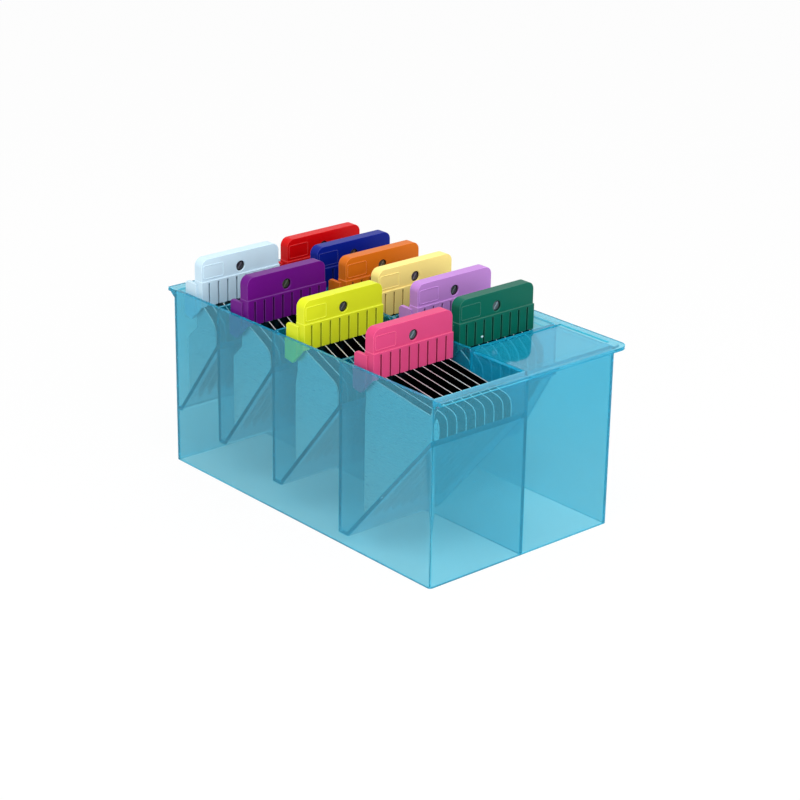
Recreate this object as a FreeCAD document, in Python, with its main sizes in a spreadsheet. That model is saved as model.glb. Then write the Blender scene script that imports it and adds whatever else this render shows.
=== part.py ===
import FreeCAD, Part
import os
import re

import Sketcher

# A tray of ten clipper guard combs.  The frame is +Z up, +X along the long
# side towards the deepest bay and the cover plate, +Y towards the row of six
# small combs.  The origin lies on the table plane, under the middle wall and
# half way along the tray.

doc = FreeCAD.newDocument("guard_comb_set")
sheet = doc.addObject("Spreadsheet::Sheet", "sizes")

# Driving dimensions, in millimetres.
SIZES = {
    # tray moulding
    "tray_length": 212.5,
    "rim_height": 100.0,
    "wall": 2.0,
    "corner_radius": 2.0,
    "lip_reach": 5.0,
    "lip_thickness": 1.8,
    "lip_root": 2.5,
    "lip_radius": 6.0,
    "lip_end_radius": 1.2,
    "border_width": 2.8,
    "border_depth": 0.5,
    # how the combs hang in the tray
    "foot_drop": 5.4,
    "near_side_gap": 1.1,
    "near_middle_gap": 4.2,
    "far_middle_gap": 1.8,
    "far_side_gap": 2.3,
    # comb body, the same for all ten; heights count from the foot of the ribs
    "handle_width": 53.0,
    "handle_depth": 6.8,
    "rib_height": 13.9,
    "tab_height": 12.4,
    "tab_step": 0.7,
    "tab_inset": 0.3,
    "tab_radius": 4.5,
    "slot_pitch": 6.18,
    "slot_width": 1.1,
    "slot_depth": 1.4,
    "ridge_height": 1.1,
    "cheek_thickness": 1.9,
    "cheek_stand": 0.9,
    "cheek_front": 4.3,
    "cheek_depth": 13.8,
    "cheek_top": 12.2,
    "cheek_drop": 8.2,
    "cheek_tip": 7.5,
    "cheek_rear_drop": 7.0,
    "cheek_bevel": 1.2,
    "hole_diameter": 5.8,
    "hole_height": 4.2,
    # steel tines
    "tine_thickness": 0.8,
    "tine_clearance": 0.3,
    "tang_length": 2.0,
    "tang_height": 7.0,
    "tang_inset": 0.9,
    "nose_set": 5.0,
    "seat_drop": 13.0,
    "toe_drop": 21.0,
    "toe_chamfer": 1.2,
    # spring clip behind the tab
    "clip_thickness": 0.8,
    "clip_width": 18.0,
    "clip_low": 1.6,
    "clip_high": 21.4,
    "clip_clearance": 0.1,
    "clip_travel": 2.0,
    "track_floor": 3.8,
    "track_mouth": 15.0,
    "track_margin": 0.3,
    "window_width": 12.0,
    "window_low": 3.4,
    "tongue_height": 11.0,
    "tongue_reach": 13.3,
    "hook_drop": 1.6,
    "lug_width": 5.0,
    "lug_thickness": 1.5,
    "lug_reach": 1.9,
    "spring_strip": 0.3,
    "spring_side": 1.2,
    "spring_gap": 0.02,
    "pin_clearance": 0.02,
    "pin_recess": 0.8,
}

# One line for each comb: its row, the clear length of its bay, the gap behind
# its cheeks, the gap before its noses, the bay's level shelf and its height,
# how far below the rim the bay's slope ends, how much lower than the others
# the comb hangs, the fall of the tines' upper edge, and how far the toes reach
# back from the front of the handle.  The last near bay takes the length that
# the row leaves.
BAY_FIELDS = ("bay", "rear_gap", "front_gap", "shelf", "floor", "slope_drop", "dip", "fall", "toe_back")
COMBS = {
    "light_blue": ("near", 36.6, 5.7, 6.8, 1.8, 32.0, 21.0, 0.3, 8.4, 15.0),
    "purple": ("near", 45.5, 7.4, 6.8, 3.2, 24.5, 20.0, 0.0, 9.6, 14.4),
    "lime": ("near", 52.7, 7.15, 6.15, 4.5, 17.4, 24.0, 0.0, 11.6, 8.6),
    "pink": ("near", None, 6.9, 1.8, 4.9, 7.5, 21.5, 0.0, 6.6, 7.4),
    "red": ("far", 22.0, 0.4, 2.4, 1.2, 47.0, 21.0, 2.7, 6.0, 12.6),
    "navy": ("far", 24.1, 2.7, 0.8, 1.2, 44.0, 21.0, 0.8, 6.2, 14.0),
    "orange": ("far", 25.4, 0.9, 0.6, 1.2, 39.0, 21.0, 0.8, 6.6, 13.4),
    "cream": ("far", 28.4, 0.55, 1.95, 1.2, 35.0, 21.0, 0.5, 7.0, 13.0),
    "lilac": ("far", 31.2, 1.5, 1.4, 1.2, 31.0, 21.0, 0.0, 7.4, 14.0),
    "green": ("far", 26.4, 0.65, 1.75, 1.2, 32.0, 24.0, 0.0, 7.0, 13.2),
}
TOE_CHAMFER = {"near": "toe_chamfer", "far": None}
ROWS = {row: [name for name in COMBS if COMBS[name][0] == row] for row in ("near", "far")}

# Places worked out from the driving dimensions, also kept in the sheet.
DERIVED = {
    "half_length": "tray_length / 2",
    "comb_width": "handle_width + 2 * cheek_stand",
    "half_width": "wall + comb_width + (near_side_gap + near_middle_gap + wall + far_middle_gap + far_side_gap) / 2",
    "inner_length": "half_length - wall",
    "inner_width": "half_width - wall",
    "middle_wall_offset": "near_side_gap + comb_width + near_middle_gap + wall / 2 - inner_width",
    "near_row": "near_side_gap + comb_width / 2 - inner_width",
    "far_row": "inner_width - far_side_gap - comb_width / 2",
    "foot_height": "rim_height - foot_drop",
    "half_handle": "handle_width / 2",
    "handle_height": "rib_height + tab_height",
    "tab_side": "half_handle - tab_inset",
    "web_thickness": "cheek_thickness - cheek_stand",
    "hole_centre": "rib_height + hole_height",
    "track_half": "clip_width / 2 + clip_clearance",
    "track_shoulder": "track_floor + clip_thickness + 2 * clip_clearance",
    "clip_front": "track_floor + clip_clearance",
    "clip_back": "clip_front + clip_thickness",
    "window_high": "tongue_height",
    "lug_high": "tongue_height - clip_clearance",
    "lug_low": "lug_high - lug_thickness",
    "pin_diameter": "hole_diameter - 2 * pin_clearance",
    "notch_half": "pin_diameter / 2 + clip_clearance",
    "notch_low": "hole_centre - notch_half - clip_travel",
    "track_top": "clip_high + clip_travel + track_margin",
    "spring_width": "window_width - 2 * spring_side",
    "end_tine": "(half_handle + 3.5 * slot_pitch) / 2",
}


class Namer:
    """Turns an expression over the sheet's aliases into one FreeCAD reads."""

    def __init__(self):
        self.line = 0
        self.known = set()

    def write(self, alias, text):
        """Put one alias and its value or formula on the next line."""
        self.line += 1
        sheet.set(f"A{self.line}", alias)
        sheet.set(f"B{self.line}", text)
        sheet.setAlias(f"B{self.line}", alias)
        self.known.add(alias)

    def bind(self, text):
        """The same expression with each alias read from the sheet."""
        return re.sub(r"[a-z_]+", lambda word: f"sizes.{word[0]}" if word[0] in self.known else word[0], text)


namer = Namer()
for alias, number in SIZES.items():
    namer.write(alias, str(number))
for name, (row, *numbers) in COMBS.items():
    for field, number in zip(BAY_FIELDS, numbers):
        if number is not None:
            namer.write(f"{name}_{field}", str(number))
for alias, formula in DERIVED.items():
    namer.write(alias, f"={formula}")


def place_bays():
    """Walk each row from the rear wall and name where its bays start and end."""
    for row, names in ROWS.items():
        start = "-inner_length"
        for name in names:
            namer.write(f"{name}_start", f"={start}")
            if name == ROWS["near"][-1]:
                namer.write(f"{name}_bay", f"=inner_length - {name}_start")
            namer.write(f"{name}_end", f"={name}_start + {name}_bay")
            namer.write(f"{name}_face", f"={name}_start + {name}_rear_gap + cheek_depth")
            namer.write(f"{name}_foot", f"=foot_height - {name}_dip")
            namer.write(f"{name}_reach", f"={name}_end - {name}_front_gap - {name}_face")
            namer.write(f"{name}_slope_top", f"=rim_height - {name}_slope_drop")
            namer.write(f"{name}_run", f"={name}_bay - {name}_shelf")
            namer.write(f"{name}_tilt", f"=({name}_slope_top - {name}_floor) / {name}_run")
            namer.write(f"{name}_stretch", f"=sqrt(1 + {name}_tilt * {name}_tilt)")
            namer.write(f"{name}_droop", f"={name}_fall / ({name}_reach + tang_inset)")
            namer.write(f"{name}_level", f"=1 / sqrt(1 + {name}_droop * {name}_droop)")
            start = f"{name}_end + wall"
        if row == "far":
            namer.write("cover_start", f"={names[-1]}_end + wall")


place_bays()
doc.recompute()


def size(alias):
    """One size, read from the sheet as a number."""
    return float(sheet.get(alias))


# ---------------------------------------------------------------- helpers

def new_body(label):
    """An empty body with its own label."""
    body = doc.addObject("PartDesign::Body", label)
    body.Label = label
    return body


def new_sketch(body, name, plane, loops, offset="0"):
    """A sketch of closed loops; each corner's place is bound to the sheet."""
    sketch = body.newObject("Sketcher::SketchObject", name)
    support = [item for item in body.Origin.OriginFeatures if item.Role == plane][0]
    sketch.AttachmentSupport = [(support, "")]
    sketch.MapMode = "FlatFace"
    sketch.setExpression("AttachmentOffset.Base.z", namer.bind(offset))
    for loop in loops:
        draw_loop(sketch, loop)
    return sketch


def draw_loop(sketch, loop):
    """A closed polygon whose corners are pairs of expressions."""
    first = sketch.GeometryCount
    count = len(loop)
    if len(loop[0]) == 3:
        draw_circle(sketch, *loop[0])
        return
    corners = [FreeCAD.Vector(index, index * index, 0) for index in range(count)]
    for index in range(count):
        segment = Part.LineSegment(corners[index], corners[(index + 1) % count])
        sketch.addGeometry(segment)
    for index, (across, up) in enumerate(loop):
        edge = first + index
        sketch.addConstraint(Sketcher.Constraint("Coincident", first + (index - 1) % count, 2, edge, 1))
        for kind, text in (("DistanceX", across), ("DistanceY", up)):
            place = sketch.addConstraint(Sketcher.Constraint(kind, -1, 1, edge, 1, 1.0))
            sketch.setExpression(f"Constraints[{place}]", namer.bind(text))


def draw_circle(sketch, across, up, diameter):
    """A circle with its centre and diameter bound to the sheet."""
    ring = sketch.addGeometry(Part.Circle(FreeCAD.Vector(0, 0, 0), FreeCAD.Vector(0, 0, 1), 1))
    for kind, text in (("DistanceX", across), ("DistanceY", up)):
        place = sketch.addConstraint(Sketcher.Constraint(kind, -1, 1, ring, 3, 1.0))
        sketch.setExpression(f"Constraints[{place}]", namer.bind(text))
    place = sketch.addConstraint(Sketcher.Constraint("Diameter", ring, 1.0))
    sketch.setExpression(f"Constraints[{place}]", namer.bind(diameter))


def box(low_across, high_across, low_up, high_up):
    """The four corners of a rectangle."""
    return [(low_across, low_up), (high_across, low_up), (high_across, high_up), (low_across, high_up)]


def extrude(body, kind, name, plane, loops, length, offset="0", backward=False, centred=False):
    """A pad or pocket of one sketch; kind is Pad or Pocket."""
    sketch = new_sketch(body, f"{name}_sketch", plane, loops, offset)
    feature = body.newObject(f"PartDesign::{kind}", name)
    feature.Profile = sketch
    feature.Reversed = backward
    if centred:
        feature.SideType = "Symmetric"
    feature.setExpression("Length", namer.bind(length))
    doc.recompute()
    return feature


def dress_edges(body, kind, field, name, amount, chosen):
    """A fillet or chamfer on the edges of the last feature for which chosen(edge) is true."""
    base = body.Tip
    names = [f"Edge{number}" for number, edge in enumerate(base.Shape.Edges, start=1) if chosen(edge)]
    feature = body.newObject(f"PartDesign::{kind}", name)
    feature.Base = (base, names)
    feature.setExpression(field, namer.bind(amount))
    doc.recompute()
    return feature


def round_edges(body, name, radius, chosen):
    """Round the chosen edges."""
    return dress_edges(body, "Fillet", "Radius", name, radius, chosen)


def bevel_edges(body, name, amount, chosen):
    """Bevel the chosen edges."""
    return dress_edges(body, "Chamfer", "Size", name, amount, chosen)


def runs_along(edge, axis):
    """Whether a straight edge lies along the named axis."""
    if len(edge.Vertexes) != 2:
        return False
    step = edge.Vertexes[1].Point - edge.Vertexes[0].Point
    return abs(abs(getattr(step, axis)) - step.Length) < 1e-6 and step.Length > 1e-6


def passes(edge, **where):
    """Whether an edge's middle has the given coordinates."""
    middle = edge.CenterOfMass
    return all(abs(getattr(middle, axis) - place) < 1e-4 for axis, place in where.items())


# ---------------------------------------------------------------- tray

def build_tray():
    """One moulding: walls, dividers, sloped shelves, cover plate and rim lips."""
    body = new_body("tray")
    add_walls(body)
    for row, names in ROWS.items():
        add_row(body, row, names)
    add_cover(body)
    add_lips(body)
    return body


def add_walls(body):
    """Outer walls with no floor, and the wall between the two rows."""
    outer = box("-half_length", "half_length", "-half_width", "half_width")
    inner = box("-inner_length", "inner_length", "-inner_width", "inner_width")
    extrude(body, "Pad", "outer_walls", "XY_Plane", [outer, inner], "rim_height")
    middle = box("-half_length + wall / 2", "half_length - wall / 2",
                 "middle_wall_offset - wall / 2", "middle_wall_offset + wall / 2")
    extrude(body, "Pad", "middle_wall", "XY_Plane", [middle], "rim_height")
    corner = {"x": size("half_length"), "y": size("half_width")}
    round_edges(body, "wall_corners", "corner_radius", lambda edge: runs_along(edge, "z")
                and all(abs(abs(getattr(edge.CenterOfMass, axis)) - place) < 1e-4
                        for axis, place in corner.items()))


def add_row(body, row, names):
    """The dividers and the sloped shelves of one row, as two pads along Y."""
    if row == "near":
        offset = "-middle_wall_offset"
        length = "half_width - wall / 2 + middle_wall_offset"
    else:
        offset = "-half_width + wall / 2"
        length = "half_width - wall / 2 - middle_wall_offset"
    dividers = []
    shelves = []
    for name, following in zip(names, names[1:] + [None]):
        shelves.append(shelf_outline(name))
        if following:
            low = f"{following}_floor - wall"
        else:
            low = f"{name}_slope_top - wall * {name}_stretch"
        if following or row == "far":
            dividers.append(box(f"{name}_end", f"{name}_end + wall", low, "rim_height"))
    extrude(body, "Pad", f"{row}_dividers", "XZ_Plane", dividers, length, offset)
    extrude(body, "Pad", f"{row}_shelves", "XZ_Plane", shelves, length, offset)


def shelf_outline(name):
    """A bay's short level shelf and the slope that rises from it, wall thick."""
    start = f"{name}_start - wall / 2"
    end = f"{name}_end + wall / 2"
    foot = f"{name}_start + {name}_shelf"
    top = f"{name}_slope_top + {name}_tilt * wall / 2"
    below = f"wall * {name}_stretch"
    return [(start, f"{name}_floor"), (foot, f"{name}_floor"), (end, top), (end, f"{top} - {below}"),
            (f"{foot} + ({below} - wall) / {name}_tilt", f"{name}_floor - wall"),
            (start, f"{name}_floor - wall")]


def add_cover(body):
    """The closed plate at the far front corner, sunk inside a plain border."""
    plate = box("green_end + wall / 2", "half_length - wall / 2",
                "middle_wall_offset", "half_width - wall / 2")
    extrude(body, "Pad", "cover_plate", "XY_Plane", [plate], "wall", "rim_height - wall")


def add_lips(body):
    """The rim's outward lip on both short ends and the far side."""
    outer = box("-half_length - lip_reach", "half_length + lip_reach", "-half_width", "half_width + lip_reach")
    inner = box("-half_length + wall / 2", "half_length - wall / 2",
                "-half_width + wall / 2", "half_width - wall / 2")
    extrude(body, "Pad", "rim_lip", "XY_Plane", [outer, inner], "lip_thickness", "rim_height - lip_thickness")
    reach = size("half_length") + size("lip_reach")
    round_edges(body, "lip_corners", "lip_radius", lambda edge: runs_along(edge, "z")
                and edge.CenterOfMass.y > 0 and abs(abs(edge.CenterOfMass.x) - reach) < 1e-4)
    round_edges(body, "lip_ends", "lip_end_radius", lambda edge: runs_along(edge, "z")
                and edge.CenterOfMass.y < 0 and abs(abs(edge.CenterOfMass.x) - reach) < 1e-4)
    low = size("rim_height") - size("lip_thickness")
    bevel_edges(body, "lip_root", "lip_root", lambda edge: abs(edge.CenterOfMass.z - low) < 1e-4
                and ((runs_along(edge, "y") and abs(abs(edge.CenterOfMass.x) - size("half_length")) < 1e-4)
                     or (runs_along(edge, "x") and abs(edge.CenterOfMass.y - size("half_width")) < 1e-4)))
    field = box("green_end + border_width", "inner_length - border_width",
                "middle_wall_offset + wall / 2 + border_width", "half_width")
    extrude(body, "Pocket", "cover_field", "XY_Plane", [field], "border_depth", "rim_height")


# ---------------------------------------------------------------- comb body

def build_handle():
    """Moulded comb body: ribs, finger tab, cheeks and the clip's track."""
    body = new_body("handle")
    ribs = box("-half_handle", "half_handle", "0", "rib_height")
    extrude(body, "Pad", "rib_block", "YZ_Plane", [ribs], "handle_depth", backward=True)
    tab = box("-tab_side", "tab_side", "rib_height / 2", "handle_height")
    extrude(body, "Pad", "tab", "YZ_Plane", [tab], "handle_depth - tab_step", "-tab_step", backward=True)
    top = size("handle_height")
    side = size("tab_side")
    round_edges(body, "tab_corners", "tab_radius", lambda edge: runs_along(edge, "x")
                and (passes(edge, y=side, z=top) or passes(edge, y=-side, z=top)))
    add_cheeks(body)
    add_rib_slots(body)
    add_tang_sockets(body)
    add_track(body)
    hole = [("0", "hole_centre", "hole_diameter")]
    extrude(body, "Pocket", "pin_hole", "YZ_Plane", [hole], "track_floor + tab_step", backward=False)
    return body


def add_cheeks(body):
    """The two side plates that straddle the clipper blade, each with a web under the ribs' foot."""
    front = "-cheek_drop * cheek_front / cheek_tip"
    plate = [("-cheek_depth", "cheek_top"), ("-cheek_front", "cheek_top"), ("-cheek_front", front),
             ("-cheek_tip", "-cheek_drop"), ("-cheek_depth", "-cheek_rear_drop")]
    extrude(body, "Pad", "left_cheek", "XZ_Plane", [plate], "cheek_thickness", "comb_width / 2", backward=True)
    extrude(body, "Pad", "right_cheek", "XZ_Plane", [plate], "cheek_thickness", "-comb_width / 2")
    web = [("-handle_depth", "0"), ("0", "0"), ("-cheek_tip", "-cheek_drop")]
    extrude(body, "Pad", "left_web", "XZ_Plane", [web], "web_thickness", "half_handle", backward=True)
    extrude(body, "Pad", "right_web", "XZ_Plane", [web], "web_thickness", "-half_handle")
    rear = -size("cheek_depth")
    top = size("cheek_top")
    bevel_edges(body, "cheek_corners", "cheek_bevel",
                lambda edge: runs_along(edge, "y") and passes(edge, x=rear, z=top))


def add_rib_slots(body):
    """Eight grooves that leave nine ribs, closed above by the ridge."""
    slots = []
    for number in range(8):
        centre = f"({number} - 3.5) * slot_pitch"
        slots.append(box(f"{centre} - slot_width / 2", f"{centre} + slot_width / 2",
                         "-slot_depth", "rib_height - ridge_height"))
    extrude(body, "Pocket", "rib_slots", "YZ_Plane", slots, "slot_depth")


def tine_places():
    """Where the nine tines stand across the comb, as expressions."""
    inner = [f"({number} - 3) * slot_pitch" for number in range(7)]
    return ["-end_tine", *inner, "end_tine"]


def add_tang_sockets(body):
    """A socket in each rib's foot for one tine's tang."""
    sockets = [box("-tang_inset - tang_length", "-tang_inset",
                   f"{centre} - tine_thickness / 2", f"{centre} + tine_thickness / 2")
               for centre in tine_places()]
    extrude(body, "Pocket", "tang_sockets", "XY_Plane", sockets, "tang_height", backward=True)


def add_track(body):
    """The undercut track in which the clip slides, and the spring's lug."""
    low, high = "-track_half", "track_half"
    near, far = "-track_mouth / 2", "track_mouth / 2"
    outline = [("-track_floor", low), ("-track_floor", high), ("-track_shoulder", high),
               ("-track_shoulder", far), ("-handle_depth - wall", far), ("-handle_depth - wall", near),
               ("-track_shoulder", near), ("-track_shoulder", low)]
    extrude(body, "Pocket", "clip_track", "XY_Plane", [outline], "track_top", backward=True)
    lug = box("-lug_width / 2", "lug_width / 2", "lug_low", "lug_high")
    extrude(body, "Pad", "spring_lug", "YZ_Plane", [lug], "lug_reach", "-track_floor", backward=True)


# ---------------------------------------------------------------- clip, pin, spring

def build_clip():
    """Pressed steel clip: a fork round the pin, a window and the tongue lanced from it."""
    body = new_body("clip")
    left, right = "-clip_width / 2", "clip_width / 2"
    plate = [(left, "clip_low"), (right, "clip_low"), (right, "clip_high"), ("notch_half", "clip_high"),
             ("notch_half", "notch_low"), ("-notch_half", "notch_low"), ("-notch_half", "clip_high"),
             (left, "clip_high")]
    window = box("-window_width / 2", "window_width / 2", "window_low", "window_high")
    extrude(body, "Pad", "clip_plate", "YZ_Plane", [plate, window], "clip_thickness", "-clip_front", backward=True)
    top = "tongue_height + clip_thickness"
    tip = "-tongue_reach + clip_thickness"
    tongue = [("-clip_front", "tongue_height"), ("-clip_front", top), ("-tongue_reach", top),
              ("-tongue_reach", "tongue_height - hook_drop"), (tip, "tongue_height - hook_drop"),
              (tip, "tongue_height")]
    extrude(body, "Pad", "clip_tongue", "XZ_Plane", [tongue], "window_width", centred=True)
    bevel_edges(body, "tongue_bend", "clip_thickness / 2", lambda edge: runs_along(edge, "y")
                and passes(edge, x=-size("tongue_reach"), z=size("tongue_height") + size("clip_thickness")))
    return body


def build_pin():
    """Turned steel pin pressed into the tab's hole; the clip's fork runs on its inner end."""
    body = new_body("pin")
    disc = [("0", "hole_centre", "pin_diameter")]
    extrude(body, "Pad", "pin_disc", "YZ_Plane", [disc], "clip_back - tab_step - pin_recess",
            "-tab_step - pin_recess", backward=True)
    return body


def build_spring(folds=4):
    """Folded strip spring between the clip's window and the handle's lug."""
    body = new_body("spring")
    low, high = "(window_low + spring_gap)", "(lug_low - spring_gap)"
    rise = f"(({high} - {low}) / {folds})"
    half = "(spring_width / 2)"
    edge = f"(spring_strip / 2 * sqrt(1 + (spring_width / {rise}) * (spring_width / {rise})))"
    spine = [(f"{'-' if number % 2 else ''}{half}", f"{low} + {number} * {rise}") for number in range(folds + 1)]
    right = [(f"{edge} + {across}", up) for across, up in spine]
    left = [(f"-{edge} + {across}", up) for across, up in reversed(spine)]
    extrude(body, "Pad", "spring_strip_pad", "YZ_Plane", [right + left], "clip_thickness", "-clip_front", backward=True)
    return body


# ---------------------------------------------------------------- tines

def build_tine(name):
    """One steel plate: tang, blade recess, toe, sole along the slope, nose."""
    body = new_body(f"{name}_tine")
    sole = (f"{name}_floor - {name}_foot + tine_clearance * {name}_stretch"
            f" - ({name}_shelf - {name}_rear_gap - cheek_depth) * {name}_tilt")
    toe = f"-{name}_toe_back"
    chamfer = TOE_CHAMFER[COMBS[name][0]]
    heel = [(toe, f"{sole} + ({toe}) * {name}_tilt")]
    if chamfer:
        heel = [(toe, f"{sole} + ({toe}) * {name}_tilt + {chamfer}"),
                (f"{toe} + {chamfer}", f"{sole} + ({toe} + {chamfer}) * {name}_tilt")]
    outline = [("-tang_inset", "tang_height"), ("-tang_inset - tang_length", "tang_height"),
               ("-tang_inset - tang_length", "0"), ("-handle_depth", "0"), ("-handle_depth", "-seat_drop"),
               (toe, "-toe_drop"), *heel,
               (f"{name}_reach", f"{sole} + {name}_reach * {name}_tilt"),
               *nose_curve(name), ("-tang_inset", "0")]
    extrude(body, "Pad", f"{name}_blank", "XZ_Plane", [outline], "tine_thickness", centred=True)
    return body


def nose_curve(name):
    """The nose from the front edge up to the upper edge: a parabola in two or three straight steps."""
    steps = 3 if name in ROWS["near"] else 2
    points = []
    for step in range(steps + 1):
        down = f"nose_set * {(steps - step) ** 2} / {steps ** 2}"
        back = f"nose_set * {name}_level * {step ** 2} / {steps ** 2}"
        points.append((f"{name}_reach - {back}", f"-{name}_fall - {down} + {back} * {name}_droop"))
    return points


# ---------------------------------------------------------------- assembly

def place(label, source, name):
    """A sub-part of one comb: the shared shape, set in that comb's bay."""
    link = doc.addObject("App::Link", label)
    link.Label = label
    link.LinkedObject = source
    link.setExpression(".Placement.Base.x", namer.bind(f"{name}_face"))
    link.setExpression(".Placement.Base.y", namer.bind(f"{COMBS[name][0]}_row"))
    link.setExpression(".Placement.Base.z", namer.bind(f"{name}_foot"))
    return link


def worked_out(text):
    """The value of one expression over the sheet, as a number."""
    probe = doc.addObject("App::FeaturePython", "probe")
    probe.addProperty("App::PropertyFloat", "Place")
    probe.setExpression("Place", namer.bind(text))
    doc.recompute()
    number = probe.Place
    doc.removeObject(probe.Name)
    return number


def spread(link, places):
    """Repeat one tine at each place across the comb."""
    link.ShowElement = False
    link.ElementCount = len(places)
    link.PlacementList = [FreeCAD.Placement(FreeCAD.Vector(0, along, 0), FreeCAD.Rotation()) for along in places]


nodes = [build_tray()]
shared = {"handle": build_handle(), "clip": build_clip(), "pin": build_pin(), "spring": build_spring()}
stations = [worked_out(text) for text in tine_places()]
for comb in COMBS:
    for part, source in shared.items():
        nodes.append(place(f"{comb}_{part}", source, comb))
    tines = place(f"{comb}_tines", build_tine(comb), comb)
    spread(tines, stations)
    nodes.append(tines)
doc.recompute()


def check(items):
    """Stop if any object failed or any sub-part has no valid shape."""
    for item in doc.Objects:
        if "Invalid" in item.State or "Error" in item.State:
            raise RuntimeError(f"{item.Label} failed: {item.State}")
    for item in items:
        shape = Part.getShape(item)
        if shape.isNull() or not shape.isValid() or shape.Volume <= 0:
            raise RuntimeError(f"{item.Label} has no valid shape")


check(nodes)
os.makedirs("parts", exist_ok=True)
for node in nodes:
    Part.getShape(node).exportStep(os.path.join("parts", f"{node.Label}.step"))
    print(node.Label, round(Part.getShape(node).Volume, 2), len(Part.getShape(node).Solids))
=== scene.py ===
# %% [markdown]
# # A tray of ten clipper guard combs
# The CAD model is the fixed frame: it already has the tray, the ten comb bodies, their steel tines,
# pins, springs and clips, all in metres and in their real places.  This lesson gives each piece the
# finish of the real one, adds the slim moulded trim that is too fine for the CAD, and sets up the
# light, the floor and the camera.

# %% Load the frame
import math

import bmesh
import bpy
from mathutils import Matrix, Vector


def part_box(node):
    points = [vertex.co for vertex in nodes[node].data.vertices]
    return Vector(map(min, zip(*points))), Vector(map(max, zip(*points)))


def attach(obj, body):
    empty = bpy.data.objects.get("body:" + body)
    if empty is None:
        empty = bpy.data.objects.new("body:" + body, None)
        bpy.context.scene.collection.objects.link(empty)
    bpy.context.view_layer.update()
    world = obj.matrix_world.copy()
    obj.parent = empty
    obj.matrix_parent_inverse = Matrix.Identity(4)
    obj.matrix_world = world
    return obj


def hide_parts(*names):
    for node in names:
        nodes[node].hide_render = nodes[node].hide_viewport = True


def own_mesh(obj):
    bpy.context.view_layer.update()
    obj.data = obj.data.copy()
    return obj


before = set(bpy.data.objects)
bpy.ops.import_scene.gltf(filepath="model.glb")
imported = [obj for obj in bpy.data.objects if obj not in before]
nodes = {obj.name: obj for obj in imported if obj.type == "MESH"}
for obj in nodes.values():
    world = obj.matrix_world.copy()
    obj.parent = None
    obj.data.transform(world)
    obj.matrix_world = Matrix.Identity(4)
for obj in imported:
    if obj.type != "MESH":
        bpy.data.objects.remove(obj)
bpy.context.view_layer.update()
MM = 0.001
COMBS = ("light_blue", "purple", "lime", "pink", "red", "navy", "orange", "cream", "lilac", "green")
print("pieces from the CAD:", len(nodes))

# %% [markdown]
# ## Joining shader nodes
# Every finish below is a small network of nodes.  Each node could be made and linked by hand in the
# Shader Editor, but ten combs would mean the same clicks ten times.  A few helpers do the wiring
# instead.  They take either a plain number or another node's output, so a line of code reads like
# the sum that it stands for.


# %% Node helpers
def feed(tree, socket, value):
    """Link a socket to another node's output, or give it a plain value."""
    if isinstance(value, bpy.types.NodeSocket):
        tree.links.new(value, socket)
    else:
        socket.default_value = value


def math_node(tree, operation, *operands):
    """The result of a math node; each operand is a number or a socket."""
    node = tree.nodes.new("ShaderNodeMath")
    node.operation = operation
    for socket, value in zip(node.inputs, operands):
        feed(tree, socket, value)
    return node.outputs[0]


def mix_shaders(tree, share, first, second):
    """From the first shader to the second as share goes from 0 to 1."""
    node = tree.nodes.new("ShaderNodeMixShader")
    feed(tree, node.inputs["Fac"], share)
    tree.links.new(first, node.inputs[1])
    tree.links.new(second, node.inputs[2])
    return node.outputs[0]


print("helpers: feed, math_node, mix_shaders")

# %% [markdown]
# ## A room that looks whiter than it shines
# A product like this is shown in a bright, even room.  The world gives that soft light from all
# sides, but light strong enough to burn the floor out to white would also wash out the combs'
# colours.  The Light Path node offers a way round that: it tells the camera's own rays apart from
# the rays that carry light.  So the camera sees a plain white backdrop, while the combs and the
# tray are lit at a modest level.  Rays that mirror off the steel or pass through the tray meet
# their own share of the white, because polished steel and clear plastic show what is around them.
# One ray can cross many walls of the tray, so it may bounce many times before it is given up.


# %% Backdrop helper
def backdrop_share(tree, camera, glossy, transmission):
    """How far each kind of ray meets the plain white backdrop; 0 for rays that carry light."""
    path = tree.nodes.new("ShaderNodeLightPath")
    total = path.outputs["Is Camera Ray"]
    rays = (("Is Glossy Ray", camera, glossy), ("Is Transmission Ray", 1.0, transmission))
    for name, before, share in rays:
        pick = tree.nodes.new("ShaderNodeMix")
        pick.inputs["B"].default_value = share
        tree.links.new(path.outputs[name], pick.inputs["Factor"])
        tree.links.new(math_node(tree, "MULTIPLY", total, before), pick.inputs["A"])
        total = pick.outputs["Result"]
    return total


def plain_light(tree, kind, strength):
    """A white Background or Emission shader of one strength."""
    node = tree.nodes.new(kind)
    node.inputs["Color"].default_value = (1.0, 1.0, 1.0, 1.0)
    node.inputs["Strength"].default_value = strength
    return node.outputs[0]


print("helpers: backdrop_share, plain_light")

# %% World
ROOM_STRENGTH = 0.75
CLEAR_BOUNCES = 96
SOFT_BOUNCES = 5

scene = bpy.context.scene
scene.view_settings.view_transform = "Standard"
for limit in ("max_bounces", "transmission_bounces", "glossy_bounces", "transparent_max_bounces"):
    setattr(scene.cycles, limit, CLEAR_BOUNCES)
scene.cycles.diffuse_bounces = SOFT_BOUNCES

world = bpy.data.worlds.new("room")
scene.world = world
world.use_nodes = True
tree = world.node_tree
tree.nodes.clear()
room = plain_light(tree, "ShaderNodeBackground", ROOM_STRENGTH)
white = plain_light(tree, "ShaderNodeBackground", 1.0)
seen = backdrop_share(tree, camera=1.0, glossy=1.0, transmission=1.0)
tree.links.new(mix_shaders(tree, seen, room, white),
               tree.nodes.new("ShaderNodeOutputWorld").inputs["Surface"])
print("world:", world.name, "at strength", ROOM_STRENGTH)

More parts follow.
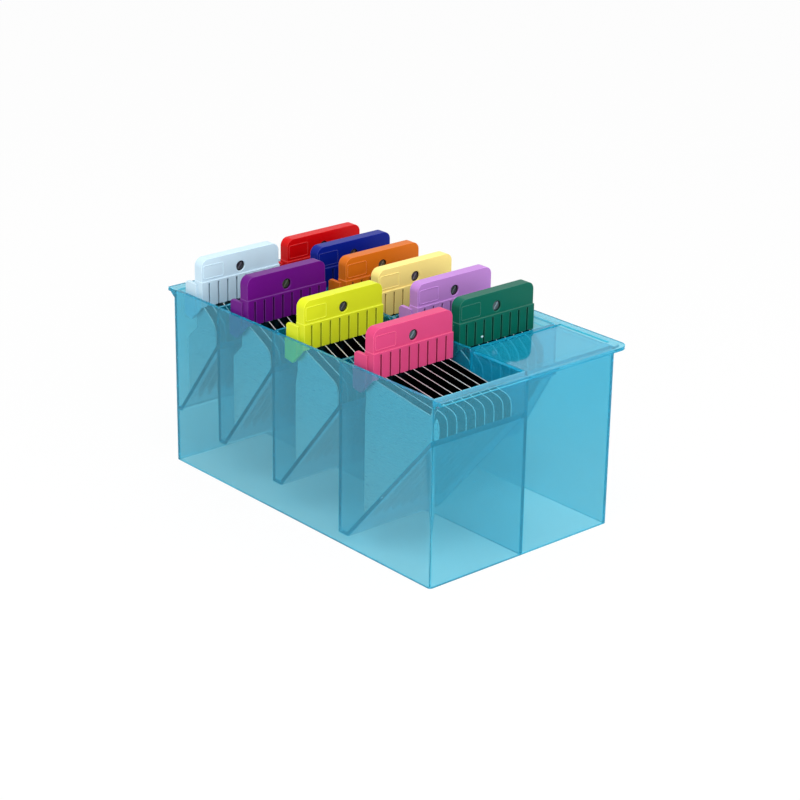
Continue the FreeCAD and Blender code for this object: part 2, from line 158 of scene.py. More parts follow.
# %% [markdown]
# ## Two lamps
# The room's own light comes evenly from all sides, which leaves shapes flat.  Small lamps or a sun
# would give them form, but also hard shadows and sharp glints that satin plastic doesn't have.  Two
# large square area lamps are softer: the key lamp, high in front, makes the gentle highlights on
# the edges, and a weaker one on the right fills the sides that the key lamp misses.

# %% Lamps
LAMP_TARGET = (0.0, 0.0, 0.05)


def soft_lamp(name, place, side, power):
    """A square area lamp at place that looks at the middle of the tray."""
    data = bpy.data.lights.new(name, "AREA")
    data.shape = "SQUARE"
    data.size = side
    data.energy = power
    lamp = bpy.data.objects.new(name, data)
    scene.collection.objects.link(lamp)
    lamp.location = place
    lamp.rotation_euler = (Vector(LAMP_TARGET) - Vector(place)).to_track_quat("-Z", "Y").to_euler()


soft_lamp("key_lamp", (0.40, -0.48, 1.10), side=0.6, power=7.5)
soft_lamp("fill_lamp", (1.0, 0.1, 0.55), side=0.8, power=4.0)

# %% [markdown]
# ## Floor
# The tray stands on a pale tabletop with no visible edge.  A curved paper sweep is what a studio
# uses, but the world behind is already white, so one flat sheet is enough here.  It lies a hair
# under the tray's lower edges, so the two surfaces are never in the same place, and it keeps the
# tray's soft shadow.

# %% Floor
FLOOR_REACH = 6.0
FLOOR_DROP = 0.2 * MM
PAPER_GREY = (0.86, 0.86, 0.86, 1.0)

floor_mesh = bpy.data.meshes.new("floor")
corners = [(-1, -1), (1, -1), (1, 1), (-1, 1)]
floor_mesh.from_pydata([(x * FLOOR_REACH, y * FLOOR_REACH, 0) for x, y in corners], [],
                       [(0, 1, 2, 3)])
floor = bpy.data.objects.new("floor", floor_mesh)
floor.location.z = -FLOOR_DROP
scene.collection.objects.link(floor)

finish = bpy.data.materials.new("floor_white")
finish.use_nodes = True
tree = finish.node_tree
tree.nodes.clear()
paper = tree.nodes.new("ShaderNodeBsdfDiffuse")
paper.inputs["Color"].default_value = PAPER_GREY
glow = plain_light(tree, "ShaderNodeEmission", 1.0)
seen = backdrop_share(tree, camera=0.93, glossy=0.7, transmission=0.15)
tree.links.new(mix_shaders(tree, seen, paper.outputs[0], glow),
               tree.nodes.new("ShaderNodeOutputMaterial").inputs["Surface"])
floor_mesh.materials.append(finish)
print("floor:", 2 * FLOOR_REACH, "m wide")

# %% [markdown]
# ## Camera
# The camera stands in front of the near corner, a little to the right and above, with a long lens,
# so the tray's edges converge only slightly.  A Track To constraint could aim it, but the camera
# leans by a small roll as well.  So its three directions are worked out from an azimuth, an
# elevation and that roll, and a small shift of the lens places the tray in the frame.

# %% Camera
AZIMUTH, ELEVATION, ROLL = (math.radians(angle) for angle in (48.953, 21.687, 0.790))
CAMERA_DISTANCE = 1.19855
CAMERA_TARGET = Vector((0.00025, 0, 0.05))

camera_data = bpy.data.cameras.new("camera")
camera_data.sensor_width = 36.0
camera_data.lens = 100.764
camera_data.shift_x, camera_data.shift_y = 0.01659, 0.00524
camera_data.clip_start, camera_data.clip_end = 0.05, 50.0
camera = bpy.data.objects.new("camera", camera_data)
scene.collection.objects.link(camera)
scene.camera = camera

back = Vector((math.sin(AZIMUTH) * math.cos(ELEVATION), -math.cos(AZIMUTH) * math.cos(ELEVATION),
               math.sin(ELEVATION)))
level = Vector((math.cos(AZIMUTH), math.sin(AZIMUTH), 0.0))
upright = back.cross(level)
right = level * math.cos(ROLL) + upright * math.sin(ROLL)
up = upright * math.cos(ROLL) - level * math.sin(ROLL)
turned = Matrix((right, up, back)).transposed().to_4x4()
camera.matrix_world = Matrix.Translation(back * CAMERA_DISTANCE + CAMERA_TARGET) @ turned
print("camera at", tuple(round(value, 3) for value in camera.location))

# %% [markdown]
# ## Shared effects
# Three effects serve several finishes, so each is a node group with named inputs and outputs, built
# once and placed in each material with its own values.  *Moulded skin* varies a plastic's colour
# and polish a little, in soft clouds, with a fine grain for the bump.  *Drawn grain* does the same
# for steel strip, in long streaks along one direction.  *Edge mask* finds the edges of a piece.
# Images could hold such patterns too, but noise needs no unwrapping and stays sharp at any size.

# %% Group helpers
COLOUR, NUMBER, VECTOR = "NodeSocketColor", "NodeSocketFloat", "NodeSocketVector"
SKIN_OUTPUTS = (("Colour", COLOUR), ("Roughness", NUMBER), ("Height", NUMBER))


def new_group(name, inputs, outputs):
    """An empty shader node group; returns the group, its given inputs and its made outputs."""
    group = bpy.data.node_groups.new(name, "ShaderNodeTree")
    for socket, kind, value in inputs:
        item = group.interface.new_socket(socket, in_out="INPUT", socket_type=kind)
        item.default_value = value
    for socket, kind in outputs:
        group.interface.new_socket(socket, in_out="OUTPUT", socket_type=kind)
    given = group.nodes.new("NodeGroupInput").outputs
    made = group.nodes.new("NodeGroupOutput").inputs
    return group, given, made


def noise(tree, place, scale, detail):
    """A noise texture on the given coordinates, spread about 0.5."""
    node = tree.nodes.new("ShaderNodeTexNoise")
    node.inputs["Detail"].default_value = detail
    tree.links.new(place, node.inputs["Vector"])
    feed(tree, node.inputs["Scale"], scale)
    return node.outputs["Fac"]


def lighten(tree, colour, amount):
    """The colour with its brightness multiplied by amount."""
    node = tree.nodes.new("ShaderNodeVectorMath")
    node.operation = "SCALE"
    tree.links.new(colour, node.inputs[0])
    tree.links.new(amount, node.inputs["Scale"])
    return node.outputs[0]


def vary_skin(group, given, made, pattern):
    """Let a pattern spread about 0.5 vary the colour and the roughness that a group puts out."""
    cloud = math_node(group, "SUBTRACT", pattern, 0.5)
    swing = math_node(group, "MULTIPLY", cloud, given["Colour spread"])
    shade = math_node(group, "ADD", swing, 1.0)
    group.links.new(lighten(group, given["Colour"], shade), made["Colour"])
    polish = math_node(group, "MULTIPLY", cloud, given["Roughness spread"])
    group.links.new(math_node(group, "ADD", polish, given["Roughness"]), made["Roughness"])


print("helpers: new_group, noise, lighten, vary_skin")

# %% Moulded skin
moulded_skin, given, made = new_group(
    "moulded_skin",
    (("Colour", COLOUR, (0.5, 0.5, 0.5, 1.0)), ("Clouds per metre", NUMBER, 70.0),
     ("Colour spread", NUMBER, 0.08), ("Roughness", NUMBER, 0.35),
     ("Roughness spread", NUMBER, 0.12), ("Grains per metre", NUMBER, 2200.0)),
    SKIN_OUTPUTS)
spot = moulded_skin.nodes.new("ShaderNodeTexCoord").outputs["Object"]
clouds = noise(moulded_skin, spot, given["Clouds per metre"], detail=3.0)
stipple = noise(moulded_skin, spot, given["Grains per metre"], detail=2.0)
vary_skin(moulded_skin, given, made, clouds)
moulded_skin.links.new(stipple, made["Height"])
print("group:", moulded_skin.name, "with", len(moulded_skin.nodes), "nodes")

# %% Drawn grain
drawn_grain, given, made = new_group(
    "drawn_grain",
    (("Colour", COLOUR, (0.6, 0.6, 0.6, 1.0)), ("Squeeze", VECTOR, (1.0, 1.0, 30.0)),
     ("Grains per metre", NUMBER, 120.0), ("Colour spread", NUMBER, 0.3),
     ("Roughness", NUMBER, 0.25), ("Roughness spread", NUMBER, 0.2)),
    SKIN_OUTPUTS)
spot = drawn_grain.nodes.new("ShaderNodeTexCoord").outputs["Object"]
squeezed = drawn_grain.nodes.new("ShaderNodeVectorMath")
squeezed.operation = "MULTIPLY"
drawn_grain.links.new(spot, squeezed.inputs[0])
drawn_grain.links.new(given["Squeeze"], squeezed.inputs[1])
streak = noise(drawn_grain, squeezed.outputs[0], given["Grains per metre"], detail=4.0)
vary_skin(drawn_grain, given, made, streak)
drawn_grain.links.new(streak, made["Height"])
print("group:", drawn_grain.name, "with", len(drawn_grain.nodes), "nodes")

# %% [markdown]
# An edge shows itself by its normals.  The Bevel node gives the normal that the surface would have
# if its edges were rounded, and True Normal gives the flat one.  On a face the two agree, and near
# an edge they turn apart, so one minus their dot product is a mask of the edges.  The mask needs no
# painting, and it follows a piece whose size changes.

# %% Edge mask
BEVEL_SAMPLES = 6


def rounded_normal(tree, radius):
    """The surface normal as it would be with every edge rounded to this radius."""
    node = tree.nodes.new("ShaderNodeBevel")
    node.samples = BEVEL_SAMPLES
    feed(tree, node.inputs["Radius"], radius)
    return node.outputs["Normal"]


edge_mask, given, made = new_group(
    "edge_mask", (("Radius", NUMBER, 0.5 * MM), ("Sharpness", NUMBER, 0.04)), (("Edge", NUMBER),))
turn = edge_mask.nodes.new("ShaderNodeVectorMath")
turn.operation = "DOT_PRODUCT"
flat = edge_mask.nodes.new("ShaderNodeNewGeometry").outputs["True Normal"]
edge_mask.links.new(rounded_normal(edge_mask, given["Radius"]), turn.inputs[0])
edge_mask.links.new(flat, turn.inputs[1])
apart = math_node(edge_mask, "SUBTRACT", 1.0, turn.outputs["Value"])
scaled = math_node(edge_mask, "DIVIDE", apart, given["Sharpness"])
edge_mask.links.new(math_node(edge_mask, "MINIMUM", scaled, 1.0), made["Edge"])
print("group:", edge_mask.name, "with", len(edge_mask.nodes), "nodes")

# %% [markdown]
# ## Putting a finish together
# Each finish has one Principled BSDF, the shader for everyday solids, with one of the two skins
# feeding its colour and roughness.  The skin's height goes through a Bump node, which tilts the
# normal without moving the surface.  Real displacement would need a far denser mesh for a grain
# that is finer than half a millimetre.


# %% Skin helpers
def new_finish(name, group, values):
    """A material with one Principled BSDF fed by one placed group; returns its parts."""
    material = bpy.data.materials.new(name)
    material.use_nodes = True
    tree = material.node_tree
    shader = tree.nodes["Principled BSDF"]
    effect = tree.nodes.new("ShaderNodeGroup")
    effect.node_tree = group
    for socket, value in values.items():
        effect.inputs[socket].default_value = value
    tree.links.new(effect.outputs["Colour"], shader.inputs["Base Color"])
    tree.links.new(effect.outputs["Roughness"], shader.inputs["Roughness"])
    return material, tree, shader, effect


def bump(tree, shader, height, strength, distance, soft_edge=None):
    """Feed a bump, over an optional rounded edge, to the shader's normal."""
    node = tree.nodes.new("ShaderNodeBump")
    node.inputs["Strength"].default_value = strength
    node.inputs["Distance"].default_value = distance
    tree.links.new(height, node.inputs["Height"])
    if soft_edge:
        tree.links.new(rounded_normal(tree, soft_edge), node.inputs["Normal"])
    tree.links.new(node.outputs["Normal"], shader.inputs["Normal"])


def dress(node, material):
    """Give a carried-over CAD node its finish."""
    mesh = nodes[node].data
    mesh.materials.clear()
    mesh.materials.append(material)


print("helpers: new_finish, bump, dress")

# %% [markdown]
# Over the skin, a finish paints light and shade into its colour: a highlight where an edge catches
# the light, and shade where little light reaches.  One value between 0 and 1 says where, and the
# helpers turn it into a colour or a shade.  The places where a piece closes in on itself, such as
# the slots between a comb's ribs, come from the Ambient Occlusion node, which looks a set distance
# around each point.  It looks at the piece alone, so the painted shade stays with the piece as it
# moves.

# %% Shade helpers
OCCLUSION_SAMPLES = 12


def blend_colour(tree, share, first, second):
    """From the first colour to the second as share goes from 0 to 1."""
    node = tree.nodes.new("ShaderNodeMix")
    node.data_type = "RGBA"
    colours = [socket for socket in node.inputs if socket.type == "RGBA"]
    tree.links.new(share, node.inputs["Factor"])
    for socket, value in zip(colours, (first, second)):
        feed(tree, socket, value)
    return next(socket for socket in node.outputs if socket.type == "RGBA")


def remap(tree, value, low, high, to_low=0.0, to_high=1.0):
    """A smooth step of value from low..high to to_low..to_high."""
    node = tree.nodes.new("ShaderNodeMapRange")
    node.interpolation_type = "SMOOTHSTEP"
    tree.links.new(value, node.inputs["Value"])
    for name, number in (("From Min", low), ("From Max", high), ("To Min", to_low),
                         ("To Max", to_high)):
        node.inputs[name].default_value = number
    return node.outputs["Result"]


def edges(tree, radius, sharpness):
    """A placed edge mask: 1 on the edges of the shape, 0 on its faces."""
    node = tree.nodes.new("ShaderNodeGroup")
    node.node_tree = edge_mask
    node.inputs["Radius"].default_value = radius
    node.inputs["Sharpness"].default_value = sharpness
    return node.outputs["Edge"]


def open_air(tree, distance, low, high, dark, bright=1.0):
    """A shade that falls from bright to dark where the piece closes in on itself."""
    node = tree.nodes.new("ShaderNodeAmbientOcclusion")
    node.only_local = True
    node.samples = OCCLUSION_SAMPLES
    node.inputs["Distance"].default_value = distance
    return remap(tree, node.outputs["AO"], low, high, dark, bright)


print("helpers: blend_colour, remap, edges, open_air")

# %% [markdown]
# Blender's colour numbers are linear: half the number is half the light.  The numbers on a paint
# chip or in a picture editor aren't, because they follow the eye.  This conversion goes from the
# one to the other, so the bodies' colours below can be read and changed as plain 0 to 255.

# %% Paint chips
SRGB_KNEE, SRGB_SLOPE, SRGB_OFFSET, SRGB_POWER = 0.04045, 12.92, 0.055, 2.4


def linear(*chip):
    """The scene colour of a paint chip whose red, green and blue are given as 0 to 255."""
    parts = []
    for share in (part / 255 for part in chip):
        if share <= SRGB_KNEE:
            parts.append(share / SRGB_SLOPE)
        else:
            parts.append(((share + SRGB_OFFSET) / (1 + SRGB_OFFSET)) ** SRGB_POWER)
    return (*parts, 1.0)


print("linear value of a middle grey chip:", round(linear(128, 128, 128)[0], 3))

# %% [markdown]
# ## Comb bodies
# Each body is moulded in its own colour, in a satin plastic with rounded edges.  Rounding every
# rib in the mesh would cost many faces, so the CAD edges are sharp, and a Bevel node under the bump
# rounds the light that falls on them instead.  On top of that, the edge mask paints a highlight
# along the edges, brighter and a little whiter, and the open-air shade paints shade into the slots
# between the ribs, which get less light.

# %% Comb body finishes
BODY_COLOURS = {
    "light_blue": (202, 227, 241), "purple": (102, 12, 125), "lime": (217, 225, 36),
    "pink": (214, 69, 120), "red": (212, 4, 8), "navy": (4, 28, 136), "orange": (211, 108, 20),
    "cream": (252, 229, 137), "lilac": (190, 134, 210), "green": (3, 95, 77),
}
BODY_ROUGHNESS, BODY_IOR, BODY_GLOSS = 0.36, 1.49, 0.12
# The edges get a painted highlight: their brightness is raised by a gain and their colour blended a
# little toward white.
EDGE_HIGHLIGHT_GAIN, EDGE_HIGHLIGHT_WHITENING = 0.4, 0.06
EDGE_HIGHLIGHT_WHITE = (0.9, 0.9, 0.9, 1.0)

for comb in COMBS:
    material, tree, shader, effect = new_finish(f"{comb}_plastic", moulded_skin, {
        "Colour": linear(*BODY_COLOURS[comb]), "Roughness": BODY_ROUGHNESS})
    shader.inputs["IOR"].default_value = BODY_IOR
    shader.inputs["Specular IOR Level"].default_value = BODY_GLOSS
    # Painted highlight on the body's edges, from the edge mask.
    edge_highlight_mask = edges(tree, radius=0.45 * MM, sharpness=0.08)
    lit_edge = math_node(tree, "ADD", math_node(tree, "MULTIPLY", edge_highlight_mask, EDGE_HIGHLIGHT_GAIN), 1.0)
    # Painted shade in the slots between the ribs, where less light reaches.
    slot_shade = open_air(tree, 2.5 * MM, low=0.35, high=0.85, dark=0.75)
    plastic = lighten(tree, effect.outputs["Colour"],
                      math_node(tree, "MULTIPLY", lit_edge, slot_shade))
    highlight_whitening = math_node(tree, "MULTIPLY", edge_highlight_mask, EDGE_HIGHLIGHT_WHITENING)
    tree.links.new(blend_colour(tree, highlight_whitening, plastic, EDGE_HIGHLIGHT_WHITE), shader.inputs["Base Color"])
    bump(tree, shader, effect.outputs["Height"], strength=0.08, distance=0.1 * MM,
         soft_edge=0.5 * MM)
    dress(f"{comb}_handle", material)
print("comb bodies dressed:", len(COMBS))

# %% [markdown]
# ## Trim
# The label frames and the gate nubs are moulded with their pieces, but they are too fine for the
# CAD.  Each is a small closed mesh of its own that rides on the body it belongs to, so it moves
# with that body and counts as a piece in the exported model.


# %% Trim helpers
def finished_mesh(name, built, flat=()):
    """A smooth-shaded mesh from a finished bmesh, which is freed; faces in flat stay flat."""
    for face in built.faces:
        face.smooth = face not in flat
    mesh = bpy.data.meshes.new(name)
    built.to_mesh(mesh)
    built.free()
    return mesh


def place_trim(name, mesh, material, body):
    """An object for a piece of trim that rides on a body and takes the given finish."""
    piece = bpy.data.objects.new(name, mesh)
    scene.collection.objects.link(piece)
    mesh.materials.append(material)
    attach(piece, body)


print("helpers: finished_mesh, place_trim")

# %% [markdown]
# ## Label frames
# Nine of the ten tabs carry a slim raised frame for a length label; the purple one has none.  The
# label's place inside it stays bare.  A frame could be a curve with a bevel profile, but such a
# curve pinches easily in tight corners.  Here a short crowned section is carried round a rounded
# rectangle in mesh code, which gives a closed ring whose edge catches the light.

# %% Frame mesh
CORNER_STEPS = 6
FRAME_SECTION = ((0.5, -0.3), (0.5, 0.55), (0.3, 0.9), (0.0, 1.0), (-0.3, 0.9), (-0.5, 0.55),
                 (-0.5, -0.3))


def frame_path(width, height, radius):
    """Points round a rounded rectangle in the plane of the tab, with their outward directions."""
    points = []
    for corner, (side_y, side_z) in enumerate(((1, 1), (-1, 1), (-1, -1), (1, -1))):
        for step in range(CORNER_STEPS + 1):
            angle = math.radians(90 * corner + 90 * step / CORNER_STEPS)
            out_y, out_z = math.cos(angle), math.sin(angle)
            points.append(((side_y * (width / 2 - radius) + radius * out_y,
                            side_z * (height / 2 - radius) + radius * out_z), (out_y, out_z)))
    return points


def frame_mesh(name, centre, width, height, radius, border, rise):
    """A raised ring on a face that looks along +X, with its section crowned."""
    built = bmesh.new()
    loops = []
    for (y, z), (out_y, out_z) in frame_path(width, height, radius):
        loops.append([built.verts.new((centre[0] + lift * rise,
                                       centre[1] + y + out_y * across * border,
                                       centre[2] + z + out_z * across * border))
                      for across, lift in FRAME_SECTION])
    for first, second in zip(loops, loops[1:] + loops[:1]):
        for k in range(len(FRAME_SECTION)):
            after = (k + 1) % len(FRAME_SECTION)
            built.faces.new((first[k], first[after], second[after], second[k]))
    bmesh.ops.recalc_face_normals(built, faces=built.faces)
    return finished_mesh(name, built)


print("frame section:", len(FRAME_SECTION), "points")

# %% Label frames
FRAME_WIDTH, FRAME_HEIGHT, FRAME_CORNER = 13.2 * MM, 7.4 * MM, 1.0 * MM
FRAME_BORDER, FRAME_RISE = 0.5 * MM, 0.15 * MM
TAB_SETBACK = 0.7 * MM  # the tab's face behind the body's foremost point
FRAME_ASIDE = 18.3 * MM  # the frame's middle beside the body's
FRAME_BELOW_TOP = 7.3 * MM  # the frame's middle below the tab's top

for comb in COMBS:
    if comb == "purple":
        continue
    low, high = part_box(f"{comb}_handle")
    centre = (high[0] - TAB_SETBACK, (low[1] + high[1]) / 2 - FRAME_ASIDE,
              high[2] - FRAME_BELOW_TOP)
    mesh = frame_mesh(f"{comb}_label_frame", centre, FRAME_WIDTH, FRAME_HEIGHT, FRAME_CORNER,
                      FRAME_BORDER, FRAME_RISE)
    place_trim(f"{comb}_label_frame", mesh, nodes[f"{comb}_handle"].data.materials[0],
               f"{comb}_comb")

# %% [markdown]
# ## Gate nubs
# Where the melt went into a mould, a sprue is snipped off and leaves a low, rough, pale nub.  The
# sloped shelves of the near bays carry one each, and the green comb has one on its ribs.  Bump
# alone would leave no lump to see from the side, so each nub is a small closed mesh: a low dome
# with a wavy outline, as the cutters leave it.  Cutting a ready-made sphere in half is shorter, but
# it can leave a second ring of points along the cut, with faces of no area in between.  So the dome
# is built ring by ring, from the top down to its flat base.

# %% Gate nubs
NUB_RADIUS, NUB_SINK = 0.9 * MM, 0.03 * MM
NUB_RINGS, NUB_SIDES = 4, 14
NUB_WAVES, NUB_WAVE_SHARE = 5.0, 0.12
NUB_NARROWING, NUB_FLATTENING = 0.7, 0.4
NUBS = (("light_blue", "tray", "tray", (-78.3, -40.6, 64.6), (-1.35, 0.0, 1.0)),
        ("purple", "tray", "tray", (-32.8, -39.7, 63.4), (-1.31, 0.0, 1.0)),
        ("lime", "tray", "tray", (25.7, -42.2, 65.2), (-1.22, 0.0, 1.0)),
        ("pink", "tray", "tray", (65.3, -55.7, 34.5), (-1.13, 0.0, 1.0)),
        ("green", "green_comb", "green", (51.3, 20.3, 98.3), (1.0, 0.0, 0.0)))


def nub_ring(built, tilt):
    """One wavy ring of the dome's points, at an angle of tilt from its top."""
    height = NUB_RADIUS * math.cos(tilt) * NUB_FLATTENING - NUB_SINK
    ring = []
    for side in range(NUB_SIDES):
        around = math.pi / 2 + 2 * math.pi * side / NUB_SIDES
        ragged = 1.0 + NUB_WAVE_SHARE * math.sin(NUB_WAVES * around)
        reach = NUB_RADIUS * math.sin(tilt) * ragged
        ring.append(built.verts.new((reach * math.cos(around),
                                     reach * math.sin(around) * NUB_NARROWING, height)))
    return ring


def nub_mesh(name, place, out):
    """A low ragged dome at place, in millimetres, that stands along out."""
    built = bmesh.new()
    top = built.verts.new((0.0, 0.0, NUB_RADIUS * NUB_FLATTENING - NUB_SINK))
    rings = [nub_ring(built, math.pi / 2 * step / NUB_RINGS) for step in range(1, NUB_RINGS + 1)]
    for k in range(NUB_SIDES):
        after = (k + 1) % NUB_SIDES
        built.faces.new((top, rings[0][k], rings[0][after]))
        for upper, lower in zip(rings, rings[1:]):
            built.faces.new((upper[k], lower[k], lower[after], upper[after]))
    base = built.faces.new(rings[-1][::-1])
    turned = Vector(out).to_track_quat("Z", "Y").to_matrix().to_4x4()
    built.transform(Matrix.Translation(Vector(place) * MM) @ turned)
    return finished_mesh(name, built, flat=(base,))


snipped_gate, tree, shader, effect = new_finish("snipped_gate", moulded_skin, {
    "Colour": (0.50, 0.74, 0.80, 1.0), "Colour spread": 0.3, "Clouds per metre": 900.0,
    "Roughness": 0.5})
bump(tree, shader, effect.outputs["Height"], strength=0.3, distance=0.1 * MM)
for comb, body, slot, place, out in NUBS:
    place_trim(f"{comb}_nub", nub_mesh(f"{comb}_nub", place, out), snipped_gate, body)
print("nubs:", len(NUBS))

# %% [markdown]
# ## Steel
# The tines, the clips, the springs and the pins are stainless steel.  Strip is drawn or rolled, so
# its grain runs one way: along the tines, and up and down the clips.  One plain metal would look
# like foil on all of them, so each gets the drawn grain.  Multiplying the coordinates of a noise
# squeezes its pattern, and a pattern that is squeezed more across than along turns into streaks.
# A pin is turned, not drawn, so its grain is squeezed the same on all axes.

# %% Steel helper
STEEL_GREY = (0.56, 0.57, 0.58, 1.0)


def steel(name, squeeze, roughness):
    """Stainless steel whose grain runs along the axis that is squeezed least."""
    material, tree, shader, effect = new_finish(name, drawn_grain, {
        "Colour": STEEL_GREY, "Squeeze": squeeze, "Roughness": roughness})
    shader.inputs["Metallic"].default_value = 1.0
    bump(tree, shader, effect.outputs["Height"], strength=0.1, distance=0.05 * MM)
    return material, tree, shader, effect


clip_steel = steel("clip_steel", (30.0, 30.0, 2.0), roughness=0.28)[0]
print("steel for clips and springs:", clip_steel.name)

# %% [markdown]
# A comb's nine tines stand close together.  Their flat sides look into each other and go nearly
# black, so that shade is painted into their colour, and their open faces are painted a little
# brighter.  The narrow edges, which the press shears, show as pale lines with a dark corner on each
# side: a painted highlight in a pale, less metallic colour, with painted shade at the corners.
# The sides face along Y, so the normal's Y part tells sides from edges, and one material can serve
# both.

# %% Tine steel
# Colours of the painted highlight on the tines' edges and of the painted shade at its corners.
EDGE_LINE_HIGHLIGHT = (0.86, 0.88, 0.89, 1.0)
EDGE_CORNER_SHADE = (0.03, 0.03, 0.032, 1.0)
HIGHLIGHT_LINE_DULLING = 0.7


def axes_of(tree, coordinates):
    """The X, Y and Z outputs of one kind of texture coordinate."""
    split = tree.nodes.new("ShaderNodeSeparateXYZ")
    tree.links.new(tree.nodes.new("ShaderNodeTexCoord").outputs[coordinates], split.inputs[0])
    return split.outputs


tine_steel, tree, shader, effect = steel("tine_steel", (2.0, 30.0, 30.0), roughness=0.3)
# Painted shade between the tines, with their open faces painted a little brighter; then the painted
# edge highlight with its shaded corners.
gap_shade = open_air(tree, 9.0 * MM, low=0.80, high=0.96, dark=0.02, bright=1.25)
side_on = math_node(tree, "ABSOLUTE", axes_of(tree, "Normal")["Y"])
highlight_line = remap(tree, side_on, low=0.3, high=0.7, to_low=1.0, to_high=0.0)
corner = edges(tree, radius=0.6 * MM, sharpness=0.02)
painted_edge_line = blend_colour(tree, corner, EDGE_LINE_HIGHLIGHT, EDGE_CORNER_SHADE)
shaded_flat_side = lighten(tree, effect.outputs["Colour"], gap_shade)
tree.links.new(blend_colour(tree, highlight_line, shaded_flat_side, painted_edge_line), shader.inputs["Base Color"])
dulled = math_node(tree, "MULTIPLY", highlight_line, HIGHLIGHT_LINE_DULLING)
tree.links.new(math_node(tree, "SUBTRACT", 1.0, dulled), shader.inputs["Metallic"])
print("steel for tines:", tine_steel.name)

# %% [markdown]
# A pin's end is faced on a lathe, so its grain is round: fine rings.  Its dark rim where it meets
# the hole is painted shade, and the bright streak that a turned face shows across its middle is a
# painted highlight.  All three come from the distance to the pin's axis and the place across its
# end.  Generated coordinates run from 0 to 1 over each pin, so one material fits all ten.

# %% Pin steel
RING_PHASE = 26.0  # radians from the axis to the rim, so about four rings
RING_DEPTH, RING_LEVEL = 0.22, 0.38
STREAK_ACROSS, STREAK_UP = 0.8, -0.6

pin_steel, tree, shader, effect = steel("pin_steel", (1.0, 1.0, 1.0), roughness=0.42)
across = axes_of(tree, "Generated")
side, height = (math_node(tree, "SUBTRACT", across[axis], 0.5) for axis in ("Y", "Z"))
square = math_node(tree, "ADD", math_node(tree, "MULTIPLY", side, side),
                   math_node(tree, "MULTIPLY", height, height))
radius = math_node(tree, "MULTIPLY", 2.0, math_node(tree, "SQRT", square))
rings = math_node(tree, "SINE", math_node(tree, "MULTIPLY", radius, RING_PHASE))
ringed = math_node(tree, "ADD", math_node(tree, "MULTIPLY", rings, RING_DEPTH), RING_LEVEL)
# Painted shade at the rim where the pin sits in its hole, and a painted highlight along the streak.
rim_shade = remap(tree, radius, low=0.62, high=0.9, to_low=1.0, to_high=0.12)
from_streak = math_node(tree, "ABSOLUTE", math_node(
    tree, "ADD", math_node(tree, "MULTIPLY", side, STREAK_ACROSS),
    math_node(tree, "MULTIPLY", height, STREAK_UP)))
glint = remap(tree, from_streak, low=0.02, high=0.12, to_low=1.9, to_high=0.75)
shade = math_node(tree, "MULTIPLY", math_node(tree, "MULTIPLY", rim_shade, ringed), glint)
tree.links.new(lighten(tree, effect.outputs["Colour"], shade), shader.inputs["Base Color"])
print("steel for pins:", pin_steel.name)

# %% Dress the steel pieces
for comb in COMBS:
    dress(f"{comb}_tines", tine_steel)
    dress(f"{comb}_clip", clip_steel)
    dress(f"{comb}_spring", clip_steel)
    dress(f"{comb}_pin", pin_steel)
print("steel pieces dressed:", 4 * len(COMBS))

# %% [markdown]
# ## Springs that ride with their combs
# Each clip pushes up against its folded spring, which stands between the clip's window and a lug
# on the comb.  A spring that only rode with its comb would be cut through as the clip rises.  Here
# a copy of its strip, with a mesh of its own, takes its place and rides with the comb.

# %% Spring strips
for comb in COMBS:
    low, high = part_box(f"{comb}_spring")
    strip = bpy.data.objects.new(f"{comb}_spring_strip", nodes[f"{comb}_spring"].data.copy())
    scene.collection.objects.link(strip)
    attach(strip, f"{comb}_comb")
    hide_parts(f"{comb}_spring")
    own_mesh(strip)

# %% [markdown]
# ## Tray
# The tray is one moulding in a clear tinted plastic, about 2 mm thick.  Light passes through it and
# takes on its colour, and the edges look deeper, because the path through the plastic is longer
# there.  A volume absorption would do that by itself, but it renders slowly and an exported model
# can lose it.  So the tint is in the base colour, a little deeper toward the rim, and the edge mask
# deepens the edges.

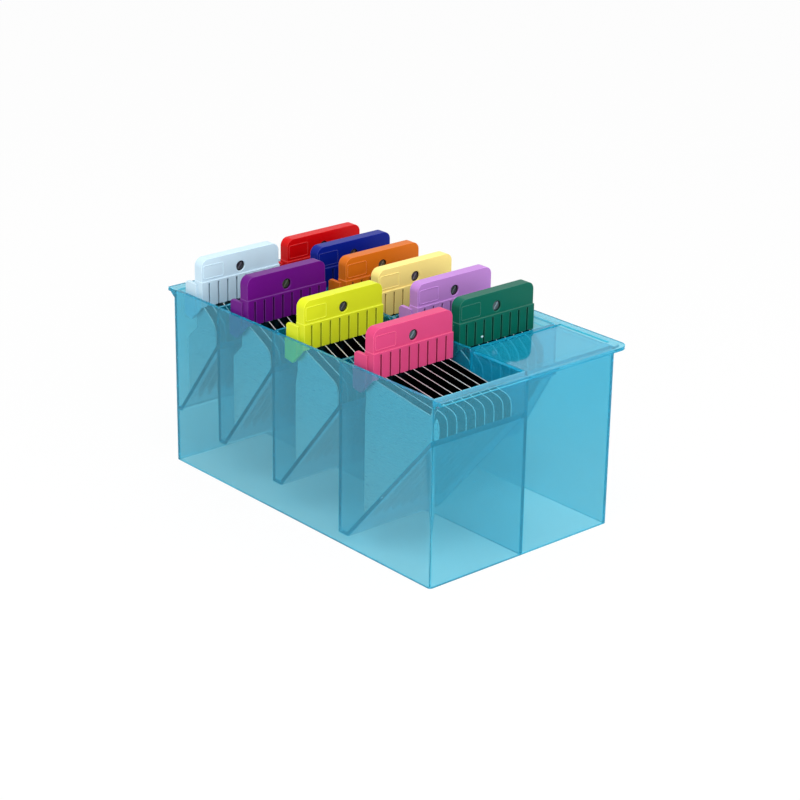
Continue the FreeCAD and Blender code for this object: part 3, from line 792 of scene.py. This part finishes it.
# %% Tray skin
FOOT_TINT, RIM_TINT = (0.47, 0.75, 0.80, 1.0), (0.33, 0.72, 0.82, 1.0)
EDGE_TINT = (0.02, 0.60, 0.80, 1.0)
TINT_HEIGHT = 90.0 * MM
TRAY_IOR, TRAY_GLOSS = 1.4, 0.25

tray_plastic, tree, shader, effect = new_finish("tray_plastic", moulded_skin, {
    "Colour spread": 0.04, "Roughness": 0.05, "Roughness spread": 0.03,
    "Clouds per metre": 25.0})
rise = remap(tree, axes_of(tree, "Object")["Z"], 0.0, TINT_HEIGHT)
tree.links.new(blend_colour(tree, rise, FOOT_TINT, RIM_TINT), effect.inputs["Colour"])
rim = edges(tree, radius=0.9 * MM, sharpness=0.05)
tree.links.new(blend_colour(tree, rim, effect.outputs["Colour"], EDGE_TINT),
               shader.inputs["Base Color"])
shader.inputs["Transmission Weight"].default_value = 1.0
shader.inputs["IOR"].default_value = TRAY_IOR
shader.inputs["Specular IOR Level"].default_value = TRAY_GLOSS
print("tray tint up to", round(TINT_HEIGHT / MM), "mm")

# %% [markdown]
# Such plastic is never quite clear.  A small share of a diffuse shader gives it the milky body that
# makes the walls show against the white room.  Light that has to find its way through glass also
# leaves grainy, too dark shadows, so for shadow rays the walls are a plain tinted sheet, and the
# light inside the tray takes on a pale blue.

# %% Tray haze and shadow tint
HAZE_BLUE, HAZE_SHARE = (0.015, 0.54, 0.76, 1.0), 0.165
SHADOW_TINT = (0.72, 0.88, 0.92, 1.0)

haze = tree.nodes.new("ShaderNodeBsdfDiffuse")
haze.inputs["Color"].default_value = HAZE_BLUE
tint = tree.nodes.new("ShaderNodeBsdfTransparent")
tint.inputs["Color"].default_value = SHADOW_TINT
shadow_ray = tree.nodes.new("ShaderNodeLightPath").outputs["Is Shadow Ray"]
cloudy = mix_shaders(tree, HAZE_SHARE, shader.outputs[0], haze.outputs[0])
pane = mix_shaders(tree, shadow_ray, cloudy, tint.outputs[0])
tree.links.new(pane, tree.nodes["Material Output"].inputs["Surface"])
dress("tray", tray_plastic)
print("tray dressed in", tray_plastic.name)
